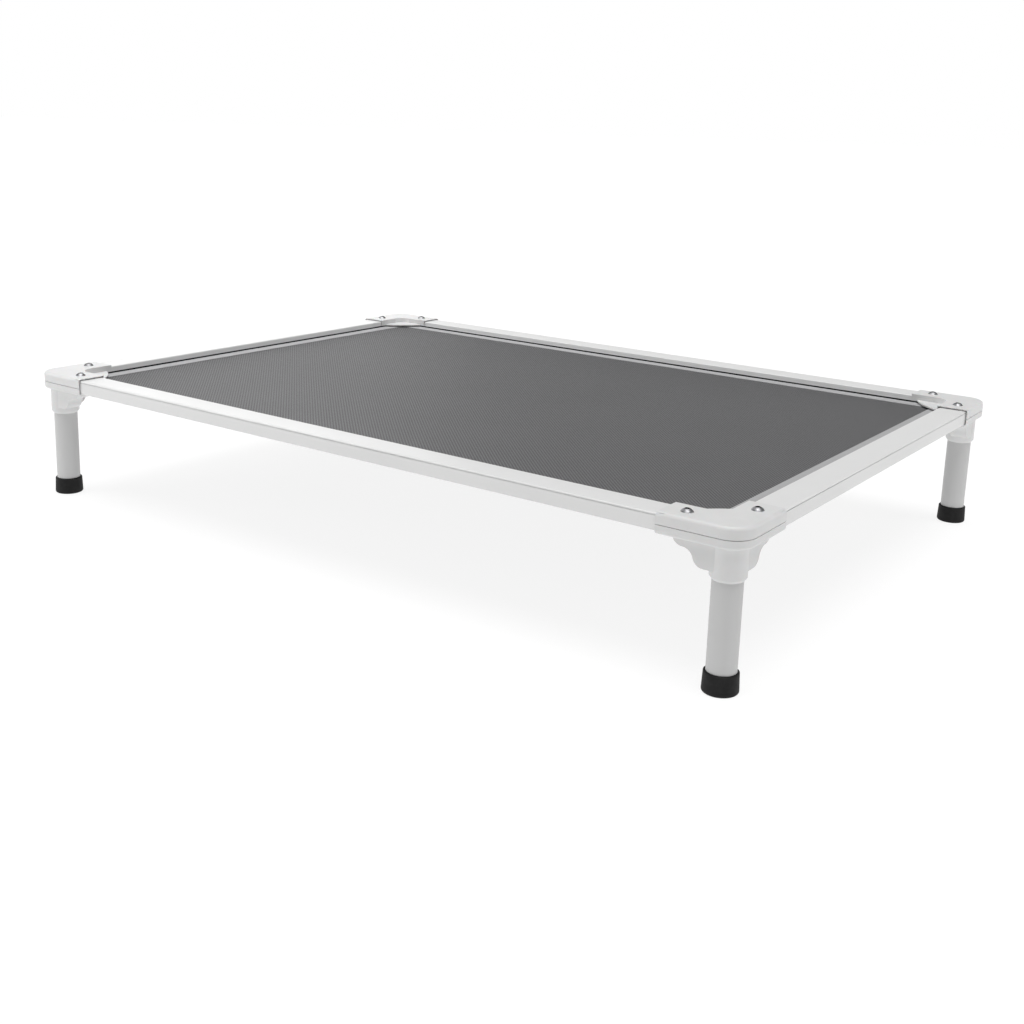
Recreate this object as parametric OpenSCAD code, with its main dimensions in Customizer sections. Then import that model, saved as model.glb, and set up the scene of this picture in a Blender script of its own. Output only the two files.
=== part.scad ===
// Raised pet cot: a mesh bed held in four extruded rails, on four round legs.
// +X runs along the long side, +Y along the short side and +Z is up.
// The origin is the middle of the footprint, on the surface that the feet stand on.

/* [Overall size] */
// Length over the outer faces of the end rails
bed_length = 1067; // [900:1:1200]
// Width over the outer faces of the front and back rails
bed_width = 762; // [600:1:900]
// Height of the top face of the rails
rail_top = 171.5; // [160:0.5:260]

/* [Rails] */
// Width of a rail, seen from above
rail_width = 36; // [34:0.5:40]
// Height of a rail, seen from the side
rail_height = 18; // [17:0.5:22]
// Wall thickness of the rail
rail_wall = 1.8; // [1.5:0.1:2]
// Radius of the rail's four long edges
rail_edge = 1.6; // [1.2:0.1:3]

/* [Sleeping surface] */
// Depth of the fabric's upper face below the top of the rails
fabric_drop = 9.3; // [8.8:0.1:10]
// Thickness of the woven mesh
mesh_thick = 1.0; // [0.8:0.1:1.2]
// Thickness of the smooth hem band sewn over the edge of the mesh
hem_thick = 0.6; // [0.5:0.1:0.7]
// Width of the hem band that shows beside a rail
hem_width = 21; // [16:1:30]
// Diameter of the cord rod that locks the hem into the rail
rod_dia = 5.6; // [5.2:0.1:5.8]

/* [Corner units] */
// Length of a corner sleeve along a rail, from the crossing of the rail faces
sleeve = 91; // [88:1:110]
// How far a corner unit stands proud of the rails outside and on top
proud = 2.4; // [2.2:0.1:3]
// How far a corner unit stands proud of the rails on the fabric side
proud_inner = 2.1; // [1.8:0.1:2.4]
// Height of the open seam between the cap and the bracket
seam = 0.6; // [0.4:0.1:0.8]
// Radius of the cap's upper outer edge and the bracket's lower outer edge
soft_edge = 4; // [3:0.5:4.5]
// Radius of the concave inner corner of the cap
inner_corner = 18; // [14:1:24]
// Distance of the cap screws from the crossing of the rail faces
screw_at = 68; // [64:1:72]

/* [Legs and feet] */
// Distance of a leg's axis from each outer rail face
leg_inset = 23.3; // [22.5:0.1:24]
// Outer diameter of a leg tube
leg_dia = 31; // [28:0.5:32]
// Wall thickness of a leg tube
leg_wall = 1.5; // [1.2:0.1:2]
// Outer diameter of the bracket's round leg socket
socket_dia = 36.8; // [36:0.1:37.5]
// Height of a rubber foot
foot_height = 22; // [18:0.5:26]
// Largest outer diameter of a rubber foot
foot_dia = 37.2; // [37:0.1:40]

/* [Hidden] */
$fn = 96;
slack = 0.1;
rail_bottom = rail_top - rail_height;
cap_top = rail_top + proud;
floor_thick = 2.5;
flange_bottom = rail_bottom - floor_thick;
seam_drop = 10.2;
seam_top = rail_top - seam_drop;
seam_bottom = seam_top - seam;

// Fine groove along the outer face, under the top edge
groove_drop = 1.7;
groove_w = 1.0;
groove_deep = 0.9;

// Keder channel: a round chamber behind a narrower slot in the rail's inner face
fabric_top = rail_top - fabric_drop;
mesh_top = fabric_top - hem_thick;
mesh_bottom = mesh_top - mesh_thick;
chamber_r = rod_dia / 2 + hem_thick + 0.2;
chamber_inset = 5;
chamber_in = rail_width - chamber_inset;
chamber_z = mesh_top + hem_thick / 3;
slot_below = 1;
slot_above = 1.8;
slot_low = mesh_bottom - slot_below;
slot_high = fabric_top + slot_above;
relief_low = chamber_z + chamber_r + rail_wall;

// Corner unit
inner_face = rail_width + proud_inner;
arc_centre = inner_face + inner_corner;
wall = proud - slack;
skirt_gap = 2.2;
skirt_bottom = fabric_top + skirt_gap;
ledge_thick = 2;
fabric_tuck = 17;
fabric_chord = sleeve + inner_face - fabric_tuck;
wall_gap = 1.2;
inner_wall_top = mesh_bottom - wall_gap;
mouth_depth = 9;
mouth_gap = 1.4;
corner_r = leg_inset + proud;
rail_clear = 4;
rail_start = leg_inset + socket_dia / 2 + rail_clear;

// Bracket: socket, gussets and screw bosses
socket_r = socket_dia / 2;
socket_bore = leg_dia / 2 + slack;
socket_length = 35.5;
socket_bottom = flange_bottom - socket_length;
socket_chamfer = 3.3;
socket_web = 2.5;
gusset_setback = 1.5;
gusset_face = leg_inset - socket_r + gusset_setback;
gusset_thick = 2.4;
gusset_width = 22;
gusset_shell = 2;
gusset_reach = 76.5;
curl_w = 11.5;
curl_h = 8.8;
boss_r = 4.5;
boss_height = 11.5;
boss_top = rail_bottom + boss_height;

// Fasteners
screw_shank = 2.5;
screw_head_r = 6.6;
screw_head_h = 3.6;
screw_recess = 0.9;
screw_key_r = 2.6;
screw_clear = 3;
screw_end = rail_bottom + screw_clear;
insert_r = 3.2;
insert_length = 10;
insert_low = boss_top - insert_length;
bolt_r = 3;
bolt_head_r = 5;
bolt_head_h = 4;
bolt_depth = 16;
bolt_recess = 1.5;
bolt_key_r = 2.9;
plug_length = 18;
foot_floor = 4;

// Trimming solids reach this far past the fabric, and this far in from a side
trim_margin = 5;
wedge_depth = 100;
rod_setback = 14;

// Corners, named from a person standing at the long front side (-Y)
FL = [-1, -1, 0];
FR = [1, -1, 90];
BR = [1, 1, 180];
BL = [-1, 1, 270];
CORNERS = [FL, FR, BR, BL];

// ---------- placing ----------

// A corner part is drawn with the crossing of the rail faces at the origin and its arms
// along +X and +Y. It is the same on both sides of the diagonal, so turning it is enough.
module at_corner(c) {
    translate([c[0] * bed_length / 2, c[1] * bed_width / 2, 0]) rotate([0, 0, c[2]]) children();
}

// Draws a child and its twin on the other side of the corner's diagonal
module both_arms() {
    children();
    mirror([1, -1, 0]) children();
}

// Extrudes a section (distance in from the outer face, height) along +X
module along(from, to) {
    translate([from, 0, 0]) rotate([90, 0, 90]) linear_extrude(to - from) children();
}

// Sweeps a section (distance in from the outer face, height) along one side of the bed.
// turn is 0 for the front, 90 for the right, 180 for the back and 270 for the left.
module along_side(turn, from) {
    span = turn % 180 == 0 ? bed_length : bed_width;
    across = turn % 180 == 0 ? bed_width : bed_length;
    rotate([0, 0, turn]) translate([-span / 2, -across / 2, 0]) along(from, span - from) children();
}

// ---------- rails ----------

module round_box(w, h, r) {
    translate([r, 0]) square([w - 2 * r, h]);
    translate([0, r]) square([w, h - 2 * r]);
    for (x = [r, w - r], y = [r, h - r]) translate([x, y]) circle(r);
}

module rail_section() {
    difference() {
        translate([0, rail_bottom]) round_box(rail_width, rail_height, rail_edge);
        translate([rail_wall, rail_bottom + rail_wall])
            square([chamber_in - chamber_r - 2 * rail_wall, rail_height - 2 * rail_wall]);
        translate([rail_wall, relief_low])
            square([rail_width - 2 * rail_wall, rail_top - rail_wall - relief_low]);
        translate([chamber_in, chamber_z]) circle(chamber_r);
        translate([chamber_in, slot_low]) square([rail_width, slot_high - slot_low]);
        translate([-1, rail_top - groove_drop - groove_w]) square([1 + groove_deep, groove_w]);
    }
}

// Holes through the top wall for the screw, and through the bottom wall for the boss
module rail_holes(turn) {
    span = turn % 180 == 0 ? bed_length : bed_width;
    across = turn % 180 == 0 ? bed_width : bed_length;
    rotate([0, 0, turn]) translate([0, rail_width / 2 - across / 2, 0])
        for (s = [-1, 1]) translate([s * (span / 2 - screw_at), 0, 0]) {
            translate([0, 0, rail_top - 2 * rail_wall]) cylinder(h = 3 * rail_wall, r = screw_shank + 0.3);
            translate([0, 0, rail_bottom - 1]) cylinder(h = rail_wall + 2, r = boss_r + 0.2);
        }
}

module rail(turn) {
    color("white") difference() {
        along_side(turn, rail_start) rail_section();
        rail_holes(turn);
    }
}

// ---------- corner cap ----------

// Roof, outer wall and fabric-side wall of the sleeve, with a softened outer edge
module cap_outer_section() {
    difference() {
        union() {
            translate([soft_edge - proud, rail_top]) square([inner_face + proud - soft_edge, proud]);
            translate([soft_edge - proud, cap_top - soft_edge]) circle(soft_edge);
            translate([-proud, seam_top]) square([soft_edge, cap_top - soft_edge - seam_top]);
        }
        translate([-slack, seam_top - 1]) square([rail_width, rail_top - seam_top + 1]);
    }
}

module cap_inner_section() {
    translate([inner_face - proud_inner + slack, skirt_bottom])
        square([proud_inner - slack, rail_top - skirt_bottom + 1]);
}

// Quarter turn of the outer wall round the leg's axis
module cap_round() {
    translate([leg_inset, leg_inset, 0]) rotate([0, 0, 180]) rotate_extrude(angle = 90) {
        difference() {
            union() {
                translate([0, rail_top]) square([corner_r - soft_edge, proud]);
                translate([corner_r - soft_edge, cap_top - soft_edge]) circle(soft_edge);
                translate([corner_r - soft_edge, seam_top]) square([soft_edge, cap_top - soft_edge - seam_top]);
            }
            translate([0, seam_top - 1]) square([corner_r - wall, rail_top - seam_top + 1]);
        }
    }
}

// Concave stretch of the fabric-side wall, a quarter ring between the straight stretches
module inner_arc(low, high) {
    translate([arc_centre, arc_centre, low]) rotate([0, 0, 180]) rotate_extrude(angle = 90)
        translate([inner_corner, 0]) square([proud_inner - slack, high - low]);
}

// Area between the inner walls and a concave arc of the given radius, moved back by set
module inner_web(r, set) {
    difference() {
        translate([inner_face - set, inner_face - set]) square(inner_corner + set);
        translate([arc_centre, arc_centre]) circle(r);
    }
}

// Ledge that lies just over the fabric and ends in a wide arc round the bed's corner
module ledge_plan() {
    intersection() {
        translate([rail_width + slack, rail_width + slack]) square(sleeve);
        circle(sleeve);
    }
}

module corner_cap() {
    color("white") difference() {
        union() {
            both_arms() {
                along(leg_inset, sleeve) cap_outer_section();
                along(arc_centre, sleeve) cap_inner_section();
            }
            cap_round();
            inner_arc(skirt_bottom, cap_top);
            translate([0, 0, rail_top]) linear_extrude(proud) inner_web(inner_corner, 1);
            translate([0, 0, skirt_bottom]) linear_extrude(ledge_thick) ledge_plan();
        }
        both_arms() {
            translate([sleeve - mouth_depth, slack - mouth_gap, seam_top - 1])
                cube([mouth_depth + 1, rail_width + 2 * (mouth_gap - slack), rail_top + mouth_gap - seam_top + 1]);
            translate([screw_at, rail_width / 2, rail_top - 1]) cylinder(h = proud + 2, r = screw_shank + 0.2);
        }
    }
}

// ---------- corner bracket ----------

module tray_section() {
    difference() {
        union() {
            translate([soft_edge - proud, flange_bottom])
                square([inner_face + proud - soft_edge, floor_thick]);
            translate([soft_edge - proud, flange_bottom + soft_edge]) circle(soft_edge);
            translate([-proud, flange_bottom + soft_edge])
                square([soft_edge, seam_bottom - flange_bottom - soft_edge]);
            translate([rail_width + slack, flange_bottom])
                square([proud_inner - slack, inner_wall_top - flange_bottom]);
        }
        translate([-slack, rail_bottom]) square([rail_width + 2 * slack, rail_height]);
    }
}

module bracket_round() {
    translate([leg_inset, leg_inset, 0]) rotate([0, 0, 180]) rotate_extrude(angle = 90) {
        difference() {
            union() {
                translate([0, flange_bottom]) square([corner_r - soft_edge, floor_thick]);
                translate([corner_r - soft_edge, flange_bottom + soft_edge]) circle(soft_edge);
                translate([corner_r - soft_edge, flange_bottom + soft_edge])
                    square([soft_edge, seam_bottom - flange_bottom - soft_edge]);
            }
            translate([0, rail_bottom]) square([corner_r - wall, rail_height]);
        }
    }
}

// Points of one curl of the gusset's edge. A cove starts steep and ends level, and a
// bulge starts level and ends steep. Both run inwards by curl_w and down by curl_h.
function curl(x, z, cove) =
    let (turn = 2 * atan(curl_h / curl_w), r = curl_w / sin(turn))
    [for (i = [0:8]) let (a = turn * i / 8)
        cove ? [x - curl_w + r * sin(turn - a), z - curl_h + r * (1 - cos(turn - a))]
             : [x - r * sin(a), z - r * (1 - cos(a))]];

module gusset_outline() {
    polygon(concat(
        [[leg_inset, flange_bottom + 1], [gusset_reach, flange_bottom + 1]],
        curl(gusset_reach, flange_bottom, true),
        curl(gusset_reach - curl_w, flange_bottom - curl_h, false),
        curl(gusset_reach - 2 * curl_w, flange_bottom - 2 * curl_h, true),
        [[leg_inset, flange_bottom - 3 * curl_h]]
    ));
}

// Upright plate under one arm with an ogee edge that runs down to the socket, and a wide
// skin along that edge. It is open on the side towards the middle of the bed.
module gusset() {
    hollow = gusset_width - gusset_thick + 1;
    difference() {
        translate([0, gusset_face + gusset_width, 0]) rotate([90, 0, 0])
            linear_extrude(gusset_width) gusset_outline();
        translate([-gusset_shell, gusset_face + gusset_thick + hollow, gusset_shell]) rotate([90, 0, 0])
            linear_extrude(hollow) gusset_outline();
    }
}

module socket() {
    translate([leg_inset, leg_inset, 0]) rotate_extrude()
        polygon([
            [0, flange_bottom], [0, seam_bottom], [socket_r, seam_bottom],
            [socket_r, socket_bottom + socket_chamfer], [socket_bore + 0.4, socket_bottom],
            [socket_bore - 1, socket_bottom], [socket_bore - 1, flange_bottom]
        ]);
}

module bracket() {
    color("white") difference() {
        union() {
            both_arms() {
                along(leg_inset, sleeve) tray_section();
                gusset();
                translate([screw_at, rail_width / 2, flange_bottom])
                    cylinder(h = boss_top - flange_bottom, r = boss_r);
            }
            bracket_round();
            socket();
            translate([0, 0, flange_bottom]) linear_extrude(floor_thick) inner_web(inner_corner, 1);
            translate([0, 0, flange_bottom]) linear_extrude(inner_wall_top - flange_bottom)
                difference() {
                    inner_web(inner_corner, 1);
                    inner_web(inner_corner + 2, 2);
                }
        }
        translate([leg_inset, leg_inset, socket_bottom - 1])
            cylinder(h = seam_bottom - socket_web - socket_bottom + 1, r = socket_bore);
        translate([leg_inset, leg_inset, seam_bottom - 2 * socket_web])
            cylinder(h = 3 * socket_web, r = bolt_r + 0.3);
        both_arms() {
            translate([screw_at, rail_width / 2, insert_low])
                cylinder(h = boss_top - insert_low + 1, r = insert_r);
            translate([sleeve - mouth_depth, slack - mouth_gap, rail_bottom])
                cube([mouth_depth + 1, mouth_gap, rail_height]);
        }
    }
}

// ---------- legs and feet ----------

module leg() {
    color("white") translate([leg_inset, leg_inset, foot_floor]) difference() {
        cylinder(h = seam_bottom - socket_web - foot_floor, r = leg_dia / 2);
        translate([0, 0, -1]) cylinder(h = rail_top, r = leg_dia / 2 - leg_wall);
    }
}

module leg_plug() {
    top = seam_bottom - socket_web;
    color("dimgray") translate([leg_inset, leg_inset, top - plug_length]) difference() {
        cylinder(h = plug_length, r = leg_dia / 2 - leg_wall);
        translate([0, 0, 1]) cylinder(h = plug_length, r = bolt_r);
    }
}

module foot() {
    r = foot_dia / 2;
    edge = 2.5;
    rim = r - 0.8;
    color([0.13, 0.13, 0.13]) translate([leg_inset, leg_inset, 0]) rotate_extrude() difference() {
        union() {
            square([r - edge, foot_height]);
            translate([r - edge, edge]) circle(edge);
            polygon([[0, edge], [r, edge], [rim, foot_height - 1], [rim - 1, foot_height], [0, foot_height]]);
        }
        translate([-r, -1]) square([r, foot_height + 2]);
        translate([0, foot_floor]) square([leg_dia / 2, foot_height]);
    }
}

// ---------- fasteners ----------

module cap_screw() {
    dome_r = (screw_head_r * screw_head_r + screw_head_h * screw_head_h) / (2 * screw_head_h);
    difference() {
        rotate_extrude() {
            intersection() {
                translate([0, cap_top + screw_head_h - dome_r]) circle(dome_r);
                translate([0, cap_top]) square([screw_head_r, screw_head_h]);
            }
            translate([0, screw_end]) square([screw_shank, cap_top - screw_end + 0.5]);
        }
        translate([0, 0, cap_top + screw_recess]) cylinder(h = screw_head_h, r = screw_key_r, $fn = 6);
    }
}

module cap_screws() {
    color("silver") for (c = CORNERS) at_corner(c) both_arms()
        translate([screw_at, rail_width / 2, 0]) cap_screw();
}

module screw_inserts() {
    color("goldenrod") for (c = CORNERS) at_corner(c) both_arms()
        translate([screw_at, rail_width / 2, insert_low]) difference() {
            cylinder(h = boss_top - insert_low, r = insert_r);
            translate([0, 0, -1]) cylinder(h = boss_top - insert_low + 2, r = screw_shank);
        }
}

module leg_bolts() {
    color("gray") for (c = CORNERS) at_corner(c) translate([leg_inset, leg_inset, 0]) difference() {
        union() {
            translate([0, 0, seam_bottom]) cylinder(h = bolt_head_h, r = bolt_head_r);
            translate([0, 0, seam_bottom - bolt_depth]) cylinder(h = bolt_depth + 1, r = bolt_r);
        }
        translate([0, 0, seam_bottom + bolt_recess]) cylinder(h = bolt_head_h, r = bolt_key_r, $fn = 6);
    }
}

// ---------- fabric ----------

// The bed's footprint with its corners cut off, to trim what lies under the ledges
module fabric_area(low, high) {
    x = bed_length / 2;
    y = bed_width / 2;
    c = fabric_chord;
    translate([0, 0, low]) linear_extrude(high - low)
        polygon([[c - x, -y], [x - c, -y], [x, c - y], [x, y - c], [x - c, y], [c - x, y], [-x, y - c], [-x, c - y]]);
}

module sleeping_mesh() {
    edge = chamber_in + rod_dia / 2 + hem_thick + 0.2;
    color([0.42, 0.42, 0.43]) intersection() {
        translate([edge - bed_length / 2, edge - bed_width / 2, mesh_bottom])
            cube([bed_length - 2 * edge, bed_width - 2 * edge, mesh_thick]);
        fabric_area(mesh_bottom, mesh_top);
    }
}

// Loop round the rod, and the flat band that lies on the mesh
module hem_section() {
    difference() {
        union() {
            translate([chamber_in, chamber_z]) circle(rod_dia / 2 + hem_thick);
            translate([chamber_in, mesh_top]) square([rail_width - chamber_in + hem_width, hem_thick]);
        }
        translate([chamber_in, chamber_z]) circle(rod_dia / 2);
    }
}

// Wedge of the bed that belongs to one side, so that the bands meet in a mitre
module side_wedge(turn) {
    span = turn % 180 == 0 ? bed_length : bed_width;
    across = turn % 180 == 0 ? bed_width : bed_length;
    d = wedge_depth;
    rotate([0, 0, turn]) translate([-span / 2, -across / 2, mesh_bottom - trim_margin])
        linear_extrude(4 * trim_margin) polygon([[0, 0], [span, 0], [span - d, d], [d, d]]);
}

module hem(turn) {
    color([0.62, 0.62, 0.63]) intersection() {
        along_side(turn, rail_width) hem_section();
        side_wedge(turn);
        fabric_area(mesh_bottom - trim_margin, fabric_top + trim_margin);
    }
}

module keder_rod(turn) {
    color("dimgray") along_side(turn, rail_start + rod_setback) translate([chamber_in, chamber_z]) circle(rod_dia / 2);
}

// ---------- nodes ----------

rail(0);  // front_rail
rail(180);  // back_rail
rail(270);  // left_rail
rail(90);  // right_rail
at_corner(FL) corner_cap();  // corner_cap_front_left
at_corner(FR) corner_cap();  // corner_cap_front_right
at_corner(BL) corner_cap();  // corner_cap_back_left
at_corner(BR) corner_cap();  // corner_cap_back_right
at_corner(FL) bracket();  // bracket_front_left
at_corner(FR) bracket();  // bracket_front_right
at_corner(BL) bracket();  // bracket_back_left
at_corner(BR) bracket();  // bracket_back_right
at_corner(FL) leg();  // leg_front_left
at_corner(FR) leg();  // leg_front_right
at_corner(BL) leg();  // leg_back_left
at_corner(BR) leg();  // leg_back_right
at_corner(FL) foot();  // foot_front_left
at_corner(FR) foot();  // foot_front_right
at_corner(BL) foot();  // foot_back_left
at_corner(BR) foot();  // foot_back_right
at_corner(FL) leg_plug();  // leg_plug_front_left
at_corner(FR) leg_plug();  // leg_plug_front_right
at_corner(BL) leg_plug();  // leg_plug_back_left
at_corner(BR) leg_plug();  // leg_plug_back_right
leg_bolts();
cap_screws();
screw_inserts();
sleeping_mesh();
hem(0);  // hem_front
hem(180);  // hem_back
hem(270);  // hem_left
hem(90);  // hem_right
keder_rod(0);  // keder_rod_front
keder_rod(180);  // keder_rod_back
keder_rod(270);  // keder_rod_left
keder_rod(90);  // keder_rod_right
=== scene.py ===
"""Looks for the raised pet cot: white rails, moulded corners, a stretched grey mesh and rubber feet.

Everything is in metres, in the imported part's frame: +X along the long side, +Z up, feet on z = 0.
"""

import math

import bmesh
import bpy
from mathutils import Matrix, Vector, noise


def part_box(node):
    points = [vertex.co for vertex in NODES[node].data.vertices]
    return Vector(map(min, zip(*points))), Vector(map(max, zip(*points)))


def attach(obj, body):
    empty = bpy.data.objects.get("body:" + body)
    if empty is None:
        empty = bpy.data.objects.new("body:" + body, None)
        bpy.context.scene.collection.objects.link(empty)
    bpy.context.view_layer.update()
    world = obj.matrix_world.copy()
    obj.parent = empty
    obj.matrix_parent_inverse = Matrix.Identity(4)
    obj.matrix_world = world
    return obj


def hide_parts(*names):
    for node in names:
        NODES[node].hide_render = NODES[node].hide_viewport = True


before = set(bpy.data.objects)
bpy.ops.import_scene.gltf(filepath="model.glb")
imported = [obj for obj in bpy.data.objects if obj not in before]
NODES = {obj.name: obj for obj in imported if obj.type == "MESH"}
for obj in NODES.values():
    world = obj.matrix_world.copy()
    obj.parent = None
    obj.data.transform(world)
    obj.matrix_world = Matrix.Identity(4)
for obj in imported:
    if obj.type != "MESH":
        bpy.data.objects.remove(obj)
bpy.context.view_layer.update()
scene = bpy.context.scene

# Turn about Z, in degrees, that brings the front side to each side
SIDES = {"front": 0, "right": 90, "back": 180, "left": 270}

# The frame's own sizes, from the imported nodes
RAIL_LO, RAIL_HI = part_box("front_rail")
RAIL_TOP = RAIL_HI.z
RAIL_BOTTOM = RAIL_LO.z
RAIL_WIDTH = RAIL_HI.y - RAIL_LO.y
HALF_Y = -RAIL_LO.y
HALF_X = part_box("right_rail")[1].x
MESH_LO, MESH_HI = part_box("sleeping_mesh")
HEM_LO, HEM_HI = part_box("hem_front")
ROD_LO, ROD_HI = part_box("keder_rod_front")
ROD_Z = (ROD_LO.z + ROD_HI.z) / 2
ROD_IN = (ROD_LO.y + ROD_HI.y) / 2 + HALF_Y
ROD_R = (ROD_HI.z - ROD_LO.z) / 2
HEM_REACH = HEM_HI.y + HALF_Y
HEM_T = 0.0006

# Distance of the cap screws from the ends of the bed and from a rail's outer face
SCREW_AT = 0.068
SCREW_IN = RAIL_WIDTH / 2
SCREW_AXES = ((HALF_X - SCREW_IN, HALF_Y - SCREW_AT), (HALF_X - SCREW_AT, HALF_Y - SCREW_IN))


# ---------- materials ----------


class Graph:
    """Short calls for building one material's nodes."""

    def __init__(self, name):
        self.mat = bpy.data.materials.new(name)
        self.mat.use_nodes = True
        self.tree = self.mat.node_tree
        self.shader = self.tree.nodes["Principled BSDF"]

    def node(self, kind, **values):
        n = self.tree.nodes.new(kind)
        for key, value in values.items():
            if hasattr(n, key):
                setattr(n, key, value)
            else:
                n.inputs[key].default_value = value
        return n

    def link(self, a, b):
        self.tree.links.new(a, b)

    def put(self, target, value):
        if isinstance(value, (int, float)):
            target.default_value = value
        else:
            self.link(value, target)

    def math(self, operation, a, b=0.0, clamp=False):
        n = self.node("ShaderNodeMath", operation=operation, use_clamp=clamp)
        self.put(n.inputs[0], a)
        self.put(n.inputs[1], b)
        return n.outputs[0]

    def place(self, scale=1.0):
        """Position on the object in metres, times scale."""
        where = self.node("ShaderNodeTexCoord").outputs["Object"]
        n = self.node("ShaderNodeVectorMath", operation="MULTIPLY")
        self.link(where, n.inputs[0])
        n.inputs[1].default_value = (scale, scale, scale) if isinstance(scale, (int, float)) else scale
        return n.outputs[0]

    def noise(self, scale, detail=2.0, rough=0.5, where=None):
        n = self.node("ShaderNodeTexNoise", Scale=scale, Detail=detail, Roughness=rough)
        self.link(where or self.place(), n.inputs["Vector"])
        return n.outputs["Fac"]

    def span(self, value, a, b, c, d):
        """value from a..b mapped to c..d and held there."""
        n = self.node("ShaderNodeMapRange", clamp=True)
        self.link(value, n.inputs["Value"])
        for key, v in zip(("From Min", "From Max", "To Min", "To Max"), (a, b, c, d)):
            n.inputs[key].default_value = v
        return n.outputs["Result"]

    def mix(self, factor, a, b):
        n = self.node("ShaderNodeMix", data_type="RGBA")
        self.put(n.inputs["Factor"], factor)
        for socket, colour in ((n.inputs["A"], a), (n.inputs["B"], b)):
            if isinstance(colour, tuple):
                socket.default_value = (*colour, 1.0)
            else:
                self.link(colour, socket)
        return n.outputs["Result"]

    def bump(self, height, distance, strength=1.0, under=None):
        n = self.node("ShaderNodeBump", Strength=strength, Distance=distance)
        self.link(height, n.inputs["Height"])
        if under is not None:
            self.link(under, n.inputs["Normal"])
        return n.outputs["Normal"]

    def base(self, colour=None, rough=None, normal=None, **fixed):
        for key, value in fixed.items():
            self.shader.inputs[key.replace("_", " ")].default_value = value
        for key, value in (("Base Color", colour), ("Roughness", rough), ("Normal", normal)):
            if value is not None:
                self.link(value, self.shader.inputs[key])
        return self.mat


def powder_coat(name, light, dark, rough, shine, coat):
    """White powder coat: the fine orange peel of the baked powder over slow changes of tone."""
    g = Graph(name)
    peel = g.noise(900.0, 2.0, 0.55)
    flow = g.noise(260.0, 1.0, 0.4)
    tone = g.noise(7.0, 3.0, 0.55)
    colour = g.mix(g.span(tone, 0.3, 0.7, 0.0, 1.0), light, dark)
    normal = g.bump(g.math("ADD", g.math("MULTIPLY", peel, 0.45), flow), 0.00006, 0.6)
    return g.base(
        colour, g.span(tone, 0.3, 0.7, *rough), normal,
        **{"Specular IOR Level": shine, "Coat Weight": coat, "Coat Roughness": 0.18},
    )


def moulded(name, light, dark, rough=(0.38, 0.5)):
    """White injection-moulded plastic with the fine spark texture of its tool."""
    g = Graph(name)
    grain = g.noise(2400.0, 3.0, 0.65)
    swirl = g.noise(55.0, 2.0, 0.5)
    colour = g.mix(g.span(swirl, 0.35, 0.68, 0.0, 1.0), light, dark)
    normal = g.bump(grain, 0.00004, 0.55)
    return g.base(
        colour, g.span(grain, 0.3, 0.7, *rough), normal,
        **{"Specular IOR Level": 0.5, "Subsurface Weight": 0.04, "Subsurface Scale": 0.002},
    )


def rubber(name):
    """Dark rubber with a matt, slightly dusty skin."""
    g = Graph(name)
    grain = g.noise(1500.0, 4.0, 0.6)
    dust = g.noise(90.0, 4.0, 0.62)
    colour = g.mix(g.span(dust, 0.42, 0.75, 0.0, 1.0), (0.009, 0.009, 0.0092), (0.017, 0.017, 0.017))
    normal = g.bump(grain, 0.00008, 0.6)
    return g.base(colour, g.span(grain, 0.3, 0.7, 0.55, 0.72), normal, **{"Specular IOR Level": 0.22})


def steel(name, colour, rough):
    """Bright metal with fine turning marks and a little unevenness in its polish."""
    g = Graph(name)
    marks = g.noise(1.0, 2.0, 0.6, g.place((900.0, 900.0, 9000.0)))
    smear = g.noise(320.0, 3.0, 0.6)
    tone = g.mix(g.span(smear, 0.35, 0.7, 0.0, 1.0), colour, tuple(c * 0.86 for c in colour))
    normal = g.bump(marks, 0.00001, 0.5)
    return g.base(tone, g.span(smear, 0.3, 0.7, rough, rough + 0.12), normal, Metallic=1.0)


def screw_steel(name, colour, rough, axes, key_r):
    """Steel with fine turning rings, and painted shade in the hex socket: near black within key_r of each
    screw's axis. axes are the screws' places in one quarter.
    """
    g = Graph(name)
    split = g.node("ShaderNodeSeparateXYZ")
    g.link(g.place(), split.inputs[0])
    x = g.math("ABSOLUTE", split.outputs["X"])
    y = g.math("ABSOLUTE", split.outputs["Y"])
    near = None
    for ax, ay in axes:
        dx, dy = g.math("SUBTRACT", x, ax), g.math("SUBTRACT", y, ay)
        d = g.math("SQRT", g.math("ADD", g.math("MULTIPLY", dx, dx), g.math("MULTIPLY", dy, dy)))
        near = d if near is None else g.math("MINIMUM", near, d)
    smear = g.noise(320.0, 3.0, 0.6)
    turned = g.math("SINE", g.math("MULTIPLY", near, 2 * math.pi / 0.0004))
    # painted shade: the hollow of the hex socket is coloured near black
    socket = g.span(near, key_r * 0.9, key_r * 1.12, 1.0, 0.0)
    tone = g.mix(g.span(smear, 0.35, 0.7, 0.0, 1.0), colour, tuple(c * 0.8 for c in colour))
    tone = g.mix(socket, tone, (0.02, 0.02, 0.021))
    normal = g.bump(turned, 0.000006, 0.4)
    worn = g.math("ADD", g.span(smear, 0.3, 0.7, rough, rough + 0.12), g.math("MULTIPLY", socket, 0.4))
    return g.base(tone, worn, normal, Metallic=1.0)


def plain_plastic(name, light, dark, rough=(0.4, 0.6)):
    """Nylon or PVC that is mostly out of sight."""
    g = Graph(name)
    grain = g.noise(700.0, 3.0, 0.6)
    colour = g.mix(g.span(grain, 0.3, 0.7, 0.0, 1.0), light, dark)
    return g.base(colour, g.span(grain, 0.3, 0.7, *rough), g.bump(grain, 0.00005, 0.5))


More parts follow.
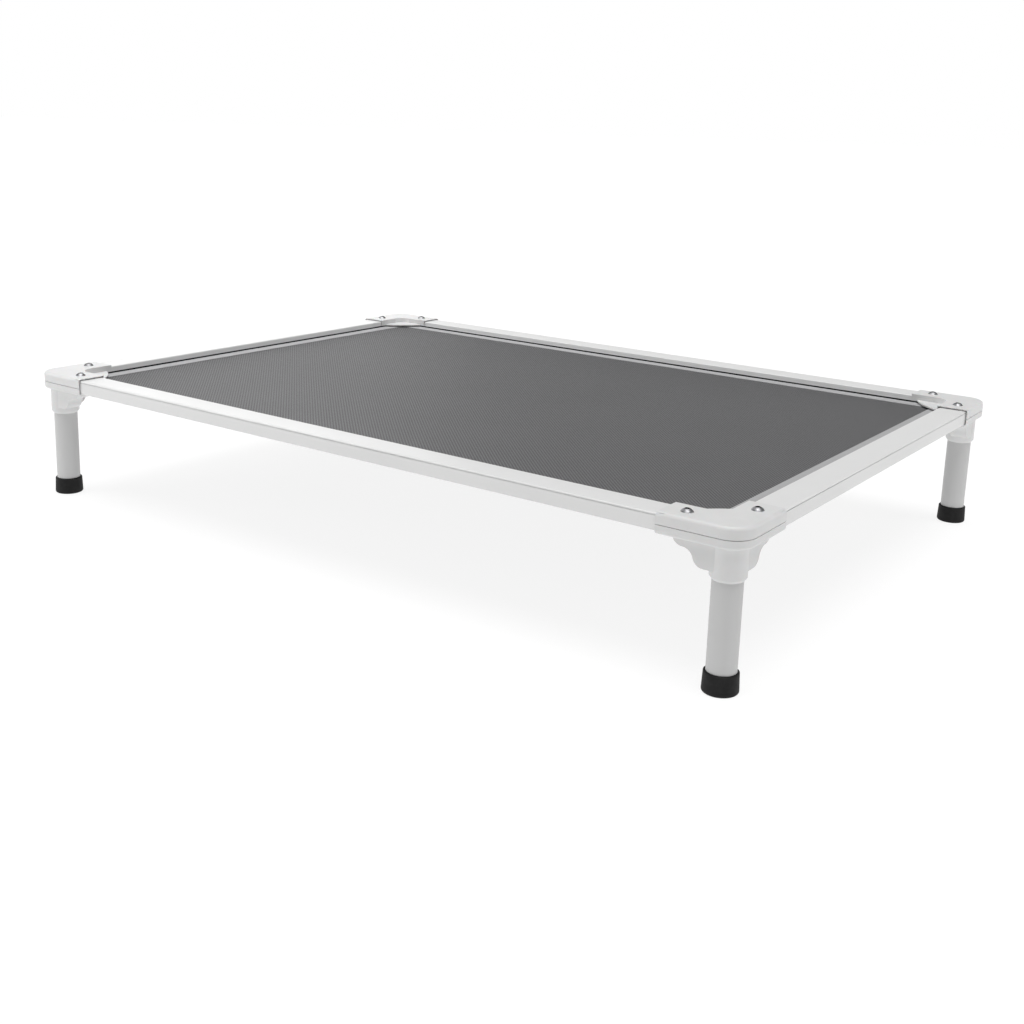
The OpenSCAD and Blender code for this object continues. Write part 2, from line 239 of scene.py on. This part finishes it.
def weave(g, pitch):
    """Plain weave of two sets of round yarns: (height 0..1, which set is on top)."""
    cell = g.node("ShaderNodeSeparateXYZ")
    g.link(g.place(1.0 / pitch), cell.inputs[0])
    x, y = cell.outputs["X"], cell.outputs["Y"]
    sin_x = g.math("SINE", g.math("MULTIPLY", x, math.pi))
    sin_y = g.math("SINE", g.math("MULTIPLY", y, math.pi))
    wave_x = g.math("ABSOLUTE", sin_x)
    wave_y = g.math("ABSOLUTE", sin_y)
    over = g.math("GREATER_THAN", g.math("MULTIPLY", sin_x, sin_y), 0.0)

    def yarn(across, along):
        """A yarn is round across itself and dips where it goes under the other set."""
        dip = g.math("ADD", g.math("MULTIPLY", along, 0.55), 0.45)
        return g.math("MULTIPLY", g.math("POWER", across, 0.55), dip)

    along_x = yarn(wave_y, wave_x)
    along_y = yarn(wave_x, wave_y)
    upper = g.node("ShaderNodeMix", data_type="FLOAT")
    g.link(over, upper.inputs["Factor"])
    g.link(along_x, upper.inputs["A"])
    g.link(along_y, upper.inputs["B"])
    return upper.outputs["Result"], over


# Width of one cell of the weave, which stands for a pair of yarns
WEAVE_CELL = 0.0024


def woven_mesh(name):
    """Grey vinyl-coated weave: round yarns, painted shade in the pinholes and dips between them, a soft
    sheen.
    """
    g = Graph(name)
    height, over = weave(g, WEAVE_CELL)
    fine = g.noise(5200.0, 2.0, 0.6)
    slub = g.noise(1.0, 3.0, 0.6, g.place((26.0, 300.0, 26.0)))
    cross = g.noise(1.0, 3.0, 0.6, g.place((300.0, 26.0, 26.0)))
    wear = g.noise(5.0, 3.0, 0.55)
    yarn = g.mix(over, (0.036, 0.036, 0.0375), (0.180, 0.180, 0.185))
    yarn = g.mix(g.span(g.math("ADD", slub, cross), 0.7, 1.3, 0.0, 0.3), yarn, (0.13, 0.13, 0.133))
    yarn = g.mix(g.span(wear, 0.35, 0.7, 0.0, 0.15), yarn, (0.09, 0.09, 0.092))
    # painted shade: colour goes near black where the weave is low, in the pinholes and dips between yarns
    colour = g.mix(g.span(height, 0.10, 0.50, 1.0, 0.0), yarn, (0.020, 0.020, 0.021))
    normal = g.bump(g.math("ADD", height, g.math("MULTIPLY", fine, 0.12)), 0.0003, 0.7)
    return g.base(
        colour, g.span(height, 0.1, 0.9, 0.66, 0.46), normal,
        **{"Specular IOR Level": 0.44, "Sheen Weight": 0.06, "Sheen Roughness": 0.4},
    )


def hem_cloth(name):
    """Smooth lighter band: a tight, flat binding tape with a faint rib along it."""
    g = Graph(name)
    rib_x = g.noise(1.0, 2.0, 0.55, g.place((60.0, 2600.0, 2600.0)))
    rib_y = g.noise(1.0, 2.0, 0.55, g.place((2600.0, 60.0, 2600.0)))
    tone = g.noise(30.0, 3.0, 0.6)
    fine = g.math("MULTIPLY", g.math("ADD", rib_x, rib_y), 0.5)
    colour = g.mix(g.span(fine, 0.35, 0.65, 0.0, 1.0), (0.375, 0.375, 0.382), (0.440, 0.440, 0.447))
    colour = g.mix(g.span(tone, 0.35, 0.7, 0.0, 0.35), colour, (0.345, 0.345, 0.352))
    normal = g.bump(fine, 0.00008, 0.5)
    return g.base(colour, g.span(fine, 0.3, 0.7, 0.62, 0.5), normal, **{"Specular IOR Level": 0.4})


MATERIALS = {
    "rail_coat": powder_coat(
        "white_powder_coat", (0.76, 0.76, 0.757), (0.74, 0.74, 0.737), (0.36, 0.48), 0.45, 0.12
    ),
    # the legs' white is a darker copy of the rails' white coat: painted shade for the legs
    "leg_coat": powder_coat(
        "white_leg_coat_painted_shade", (0.59, 0.59, 0.588), (0.57, 0.57, 0.568), (0.4, 0.5), 0.2, 0.0
    ),
    "corner_moulding": moulded("white_moulding", (0.70, 0.70, 0.698), (0.68, 0.68, 0.678)),
    "foot_rubber": rubber("dark_rubber"),
    "plug_nylon": plain_plastic("dark_nylon", (0.03, 0.03, 0.03), (0.05, 0.05, 0.05)),
    "zinc_steel": steel("zinc_plate", (0.60, 0.61, 0.63), 0.28),
    "stainless": screw_steel("stainless", (0.34, 0.34, 0.35), 0.40, SCREW_AXES, 0.0026),
    "brass_insert": steel("brass", (0.72, 0.55, 0.26), 0.25),
    "woven_mesh": woven_mesh("grey_weave"),
    "hem_band": hem_cloth("hem_tape"),
    "rod_pvc": plain_plastic("rod_pvc", (0.06, 0.06, 0.06), (0.09, 0.09, 0.09)),
    # near-black colour for the hem's loop in the rail's slot: painted shade
    "slot_cord": plain_plastic("slot_cord", (0.010, 0.010, 0.011), (0.018, 0.018, 0.019), (0.6, 0.8)),
}


def finish_cad_nodes():
    """Gives each CAD node its material, and small rounded edges where it is moulded or pressed."""
    edge = {"corner_moulding": 0.00045, "rail_coat": 0.0002}
    for name, o in NODES.items():
        slot = o.material_slots[0].material.name.split(".")[0]
        o.data.materials[0] = MATERIALS[slot]
        if slot in edge:
            weld = o.modifiers.new("weld", "WELD")
            weld.merge_threshold = 0.00001
            bevel = o.modifiers.new("edges", "BEVEL")
            bevel.width = edge[slot]
            bevel.segments = 2
            bevel.limit_method = "ANGLE"
            bevel.angle_limit = math.radians(40)
            bevel.harden_normals = False
            bevel.use_clamp_overlap = True


# ---------- fabric ----------


def new_piece(name, verts, faces, material):
    """A smooth new mesh with its material."""
    data = bpy.data.meshes.new(name)
    data.from_pydata([tuple(v) for v in verts], [], faces)
    data.validate()
    data.materials.append(MATERIALS[material])
    for p in data.polygons:
        p.use_smooth = True
    o = bpy.data.objects.new(name, data)
    scene.collection.objects.link(o)
    bm = bmesh.new()
    bm.from_mesh(data)
    bmesh.ops.recalc_face_normals(bm, faces=bm.faces)
    bm.to_mesh(data)
    bm.free()
    return o


# How far the middle of the mesh hangs, and how far from a rail's face the mesh itself starts
SAG = 0.0035
MESH_START = 0.003
# The mesh starts to hang this far out from its hems' inner edges, under the hems
HEM_OVERLAP = 0.002
FLAT_X = HALF_X - HEM_REACH + HEM_OVERLAP
FLAT_Y = HALF_Y - HEM_REACH + HEM_OVERLAP
# The folded band gets painted shade, a near-black colour, up to this far past a rail's inner face, towards
# the mesh
SLOT_SHADE_OUT = 0.0008


def sag(x, y):
    """How far the stretched mesh hangs below its hems, with a trace of slackness between them."""
    u, v = min(abs(x) / FLAT_X, 1.0), min(abs(y) / FLAT_Y, 1.0)
    bowl = (1 - u * u) * (1 - v * v)
    ripple = noise.noise(Vector((x * 7.0, y * 7.0, 3.7))) * 0.0006 * min(1.0, 4 * bowl)
    return -SAG * bowl + ripple


def sleeping_mesh():
    """The stretched sheet, with its thickness, cut off straight under each corner."""
    half_x = HALF_X - RAIL_WIDTH - MESH_START
    half_y = HALF_Y - RAIL_WIDTH - MESH_START
    nx, ny = 120, 86
    chord = max(v.co.x + v.co.y for v in NODES["sleeping_mesh"].data.vertices)
    verts, faces = [], []
    for side, z in ((0, MESH_HI.z), (1, MESH_LO.z)):
        for j in range(ny + 1):
            y = -half_y + 2 * half_y * j / ny
            for i in range(nx + 1):
                x = -half_x + 2 * half_x * i / nx
                # slide points outside the corner cut back onto it
                over = abs(x) + abs(y) - chord
                px, py = x, y
                if over > 0:
                    px -= math.copysign(over / 2, x)
                    py -= math.copysign(over / 2, y)
                verts.append((px, py, z + sag(px, py)))
    row = nx + 1
    layer = row * (ny + 1)
    for j in range(ny):
        for i in range(nx):
            a = j * row + i
            faces.append((a, a + 1, a + 1 + row, a + row))
            faces.append((a + layer, a + row + layer, a + 1 + row + layer, a + 1 + layer))
    for i in range(nx):
        a, b = i, ny * row + i
        faces.append((a, a + layer, a + 1 + layer, a + 1))
        faces.append((b, b + 1, b + 1 + layer, b + layer))
    for j in range(ny):
        a, b = j * row, j * row + nx
        faces.append((a, a + row, a + row + layer, a + layer))
        faces.append((b, b + layer, b + row + layer, b + row))
    o = new_piece("sleeping_mesh_cloth", verts, faces, "woven_mesh")
    bm = bmesh.new()
    bm.from_mesh(o.data)
    bmesh.ops.remove_doubles(bm, verts=bm.verts, dist=0.00002)
    bmesh.ops.dissolve_degenerate(bm, edges=bm.edges, dist=0.00001)
    bm.to_mesh(o.data)
    bm.free()
    area = 4 * half_x * half_y - 2 * (half_x + half_y - chord) ** 2
    return o, 2 * half_x, 2 * half_y, area


def hem_path():
    """Centre line of the folded hem, from the inner edge over the rod and back under the mesh."""
    top = MESH_HI.z + HEM_T / 2
    low = MESH_LO.z - HEM_T / 2
    r = ROD_R + HEM_T / 2
    rail = RAIL_WIDTH
    edge = HEM_REACH
    points = [
        (edge, top - 0.00005), (edge - 0.0010, top + 0.00014), (edge - 0.0026, top + 0.00034),
        (edge - 0.0060, top + 0.00036), (edge - 0.0072, top + 0.00012), (edge - 0.0080, top),
        (edge - 0.0125, top), (edge - 0.0133, top + 0.00012), (edge - 0.0145, top + 0.00034),
        (edge - 0.0170, top + 0.00036), (rail + 0.0026, top + 0.00020), (rail + 0.0012, top - 0.00035),
        (rail - 0.0004, top - 0.00085), (rail - 0.0016, top - 0.00095),
    ]
    start, end = math.radians(-15), math.radians(322)
    for k in range(21):
        a = start + (end - start) * k / 20
        points.append((ROD_IN + r * math.cos(a), ROD_Z + r * math.sin(a)))
    points += [
        (rail - 0.0012, low - 0.0003), (rail + 0.0010, low), (rail + 0.008, low), (edge - 0.006, low),
        (edge - 0.0005, low),
    ]
    return points


def hem(side, span, across, mesh_chord):
    """One hem: a folded band swept along its side, with ends cut along the corner's chord."""
    path = hem_path()
    half = HEM_T / 2
    left, right = [], []
    for k, (d, z) in enumerate(path):
        a, b = path[max(k - 1, 0)], path[min(k + 1, len(path) - 1)]
        dx, dz = b[0] - a[0], b[1] - a[1]
        size = math.hypot(dx, dz)
        nx, nz = -dz / size * half, dx / size * half
        left.append((d + nx, z + nz))
        right.append((d - nx, z - nz))
    section = left + right[::-1]
    count = len(section)
    steps = 96
    verts, faces = [], []
    for s in range(steps + 1):
        t = s / steps
        for d, z in section:
            start = max(d, mesh_chord - d)
            along = start + (span - 2 * start) * t
            wave = noise.noise(Vector((along * 9.0, d * 40.0, side * 0.1))) * 0.00012
            lift = wave if d > RAIL_WIDTH else 0.0
            verts.append((along - span / 2, d - across / 2, z + lift))
    for s in range(steps):
        for k in range(count):
            a, b = s * count + k, s * count + (k + 1) % count
            faces.append((a, b, b + count, a + count))
    faces.append(tuple(range(count))[::-1])
    faces.append(tuple(range(steps * count, (steps + 1) * count)))
    # the loop in the rail's slot is coloured near black, painted shade for the dark slot, and only the band
    # beside it is pale
    painted_slot_shade_faces = [
        f for f, face in enumerate(faces)
        if len(face) == 4 and sum(section[i % count][0] for i in face) / 4 < RAIL_WIDTH + SLOT_SHADE_OUT
    ]
    turn = Matrix.Rotation(math.radians(side), 4, "Z")
    name = next(n for n, a in SIDES.items() if a == side)
    o = new_piece("hem_band_" + name, [turn @ Vector(v) for v in verts], faces, "hem_band")
    o.data.materials.append(MATERIALS["slot_cord"])
    for f in painted_slot_shade_faces:
        o.data.polygons[f].material_index = 1
    return o


def fabric():
    """The mesh and its four hems, in place of the plain CAD ones."""
    cloth, length, width, area = sleeping_mesh()
    chord_edge = HALF_X + HALF_Y - max(
        v.co.x + v.co.y for v in NODES["sleeping_mesh"].data.vertices
    )
    for name, turn in SIDES.items():
        long_side = turn % 180 == 0
        span, across = (2 * HALF_X, 2 * HALF_Y) if long_side else (2 * HALF_Y, 2 * HALF_X)
        o = hem(turn, span, across, chord_edge)
        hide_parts("hem_" + name)
        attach(o, "root")
    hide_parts("sleeping_mesh")
    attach(cloth, "root")


# ---------- studio ----------


def area_light(name, place, target, size, power):
    """A square soft light at place, turned to face target."""
    data = bpy.data.lights.new(name, "AREA")
    data.shape = "SQUARE"
    data.size = size
    data.energy = power
    o = bpy.data.objects.new(name, data)
    o.location = place
    o.rotation_mode = "QUATERNION"
    o.rotation_quaternion = (Vector(target) - Vector(place)).to_track_quat("-Z", "Y")
    scene.collection.objects.link(o)


def studio():
    """A plain white floor, a white horizon, and soft lights from above and from both sides."""
    data = bpy.data.meshes.new("floor")
    data.from_pydata([(-40, -40, 0), (40, -40, 0), (40, 40, 0), (-40, 40, 0)], [], [(0, 1, 2, 3)])
    floor = bpy.data.objects.new("floor", data)
    scene.collection.objects.link(floor)
    g = Graph("studio_floor")
    colour = g.mix(g.noise(3.0, 2.0, 0.5), (0.17, 0.17, 0.17), (0.18, 0.18, 0.18))
    data.materials.append(g.base(colour, Roughness=0.9))
    g.shader.inputs["Specular IOR Level"].default_value = 0.0
    g.shader.inputs["Emission Color"].default_value = (1.0, 1.0, 1.0, 1.0)
    g.shader.inputs["Emission Strength"].default_value = 0.86

    world = bpy.data.worlds.new("studio")
    scene.world = world
    world.use_nodes = True
    tree = world.node_tree
    back = tree.nodes["Background"]
    back.inputs["Color"].default_value = (1.0, 1.0, 1.0, 1.0)
    # white round the horizon, where a studio's walls are, and dimmer overhead
    where = tree.nodes.new("ShaderNodeTexCoord").outputs["Generated"]
    split = tree.nodes.new("ShaderNodeSeparateXYZ")
    tree.links.new(where, split.inputs[0])
    ramp = tree.nodes.new("ShaderNodeMapRange")
    ramp.clamp = True
    tree.links.new(split.outputs["Z"], ramp.inputs["Value"])
    for key, v in (("From Min", 0.14), ("From Max", 0.20), ("To Min", 1.0), ("To Max", 0.08)):
        ramp.inputs[key].default_value = v
    tree.links.new(ramp.outputs["Result"], back.inputs["Strength"])
    scene.view_settings.view_transform = "Standard"

    middle = (0, 0, 0.12)
    sun = bpy.data.objects.new("top", bpy.data.lights.new("top", "SUN"))
    sun.data.energy = 2.65
    sun.data.angle = math.radians(50)
    sun.rotation_euler = (math.radians(6), math.radians(4), 0)
    scene.collection.objects.link(sun)
    area_light("right", (1.9, 0.8, 0.7), middle, 1.0, 4)
    area_light("left", (-1.6, -1.4, 0.8), (-0.4, -0.2, 0.15), 1.0, 8)
    area_light("over the left end", (-1.0, 0.1, 1.3), (-0.6, 0, 0.15), 0.8, 4.5)
    area_light("behind the left end", (-2.2, 1.6, 0.85), (-0.3, 0, 0.15), 1.2, 5)


def camera():
    """The photograph's viewing angle. The shift keeps the bed where the picture has it."""
    data = bpy.data.cameras.new("camera")
    data.lens = 45.16
    data.sensor_width = 36.0
    data.shift_y = -0.10
    data.clip_start, data.clip_end = 0.05, 40.0
    o = bpy.data.objects.new("camera", data)
    yaw, pitch, roll = 0.6166, 0.2251, 0.0313
    forward = Vector((-math.sin(yaw) * math.cos(pitch), math.cos(yaw) * math.cos(pitch), -math.sin(pitch)))
    side = Vector((math.cos(yaw), math.sin(yaw), 0.0))
    up = side.cross(forward)
    right = math.cos(roll) * side + math.sin(roll) * up
    top = -math.sin(roll) * side + math.cos(roll) * up
    turn = Matrix((right, top, -forward)).transposed().to_4x4()
    o.matrix_world = Matrix.Translation((1.0063, -1.4204, 0.5372)) @ turn
    scene.collection.objects.link(o)
    scene.camera = o


camera()
studio()
finish_cad_nodes()
fabric()
